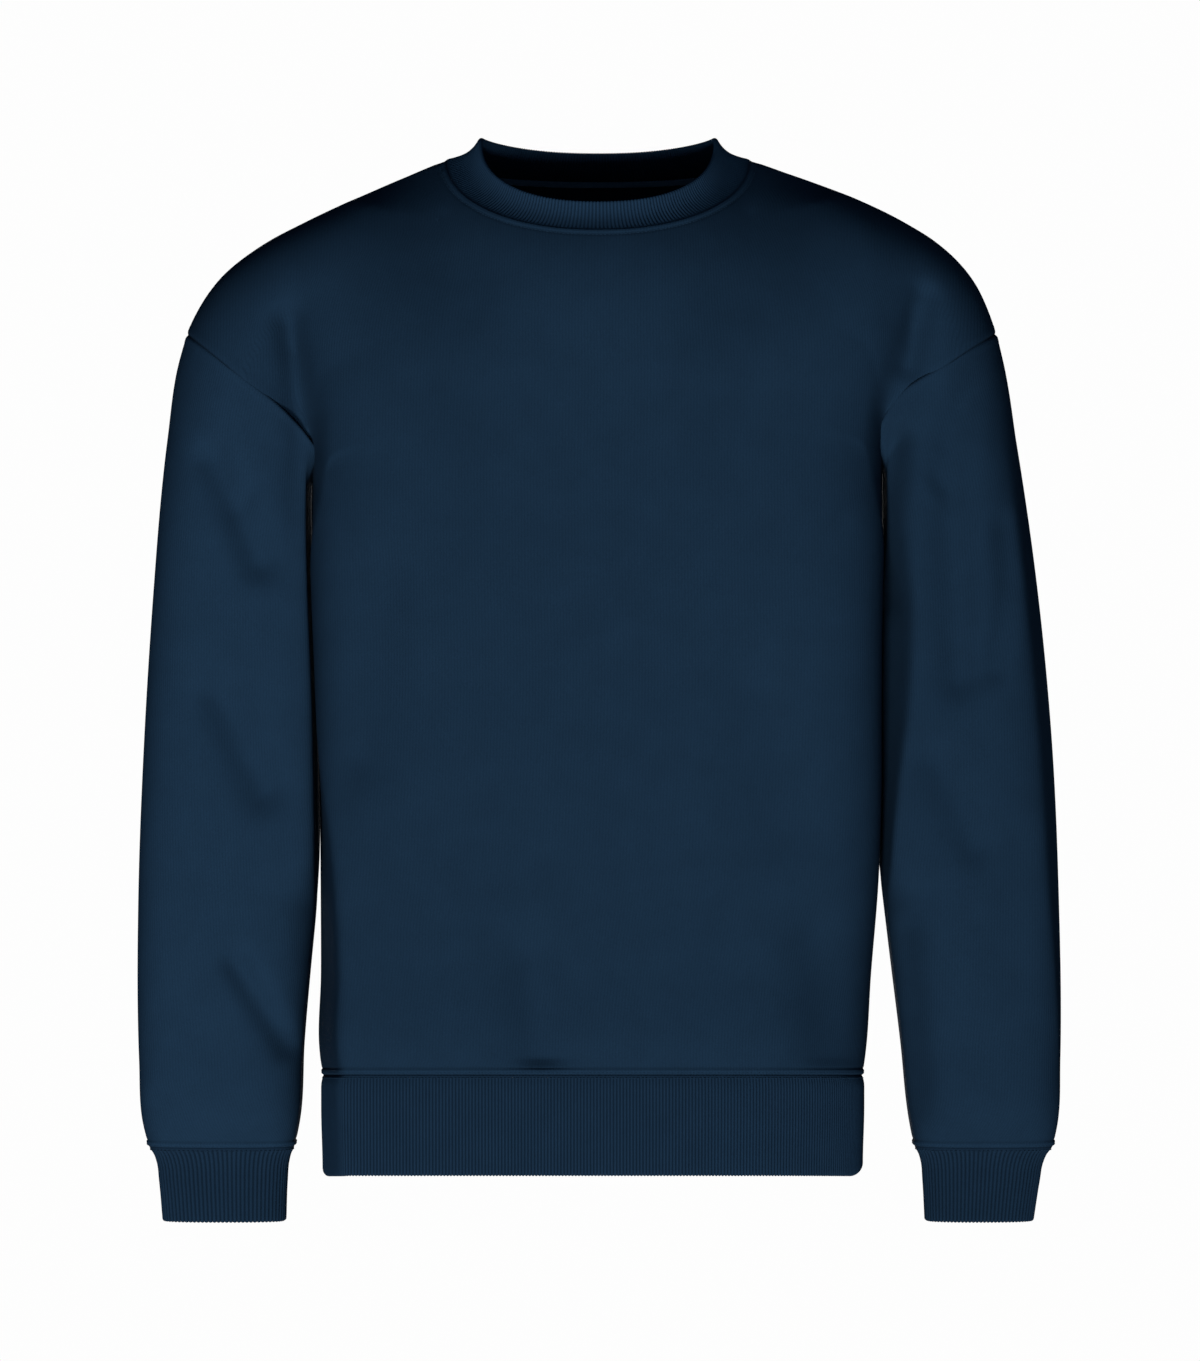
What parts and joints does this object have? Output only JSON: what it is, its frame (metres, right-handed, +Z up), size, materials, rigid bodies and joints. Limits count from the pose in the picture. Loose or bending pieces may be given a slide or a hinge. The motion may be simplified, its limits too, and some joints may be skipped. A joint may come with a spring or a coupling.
{
  "type": "crewneck sweatshirt",
  "caption": "Plain long-sleeved crewneck sweatshirt in its worn form: hollow, with ribbed neckband, cuffs and hem band, open at neck, hem and wrists.",
  "frame": {"origin": "midway between the two high shoulder points, where the wearer's shoulders carry the garment", "axes": "+Z up towards the neck, -Y towards the front, +X towards the wearer's left sleeve"},
  "size_m": [0.6358, 0.2518, 0.7468],
  "materials": {
    "fleece_jersey": "matt brushed-back jersey, fine vertical knit wales",
    "rib_knit": "matt 1 by 1 rib knit",
    "neck_tape": "matt plain-woven tape"
  },
  "bodies": {
    "root": {"front_panel": "fleece_jersey", "back_panel": "fleece_jersey", "sleeve_right": "fleece_jersey", "sleeve_left": "fleece_jersey", "neckband": "rib_knit", "hem_band": "rib_knit", "cuff_right": "rib_knit", "cuff_left": "rib_knit", "back_neck_tape": "neck_tape"}
  },
  "joints": []
}
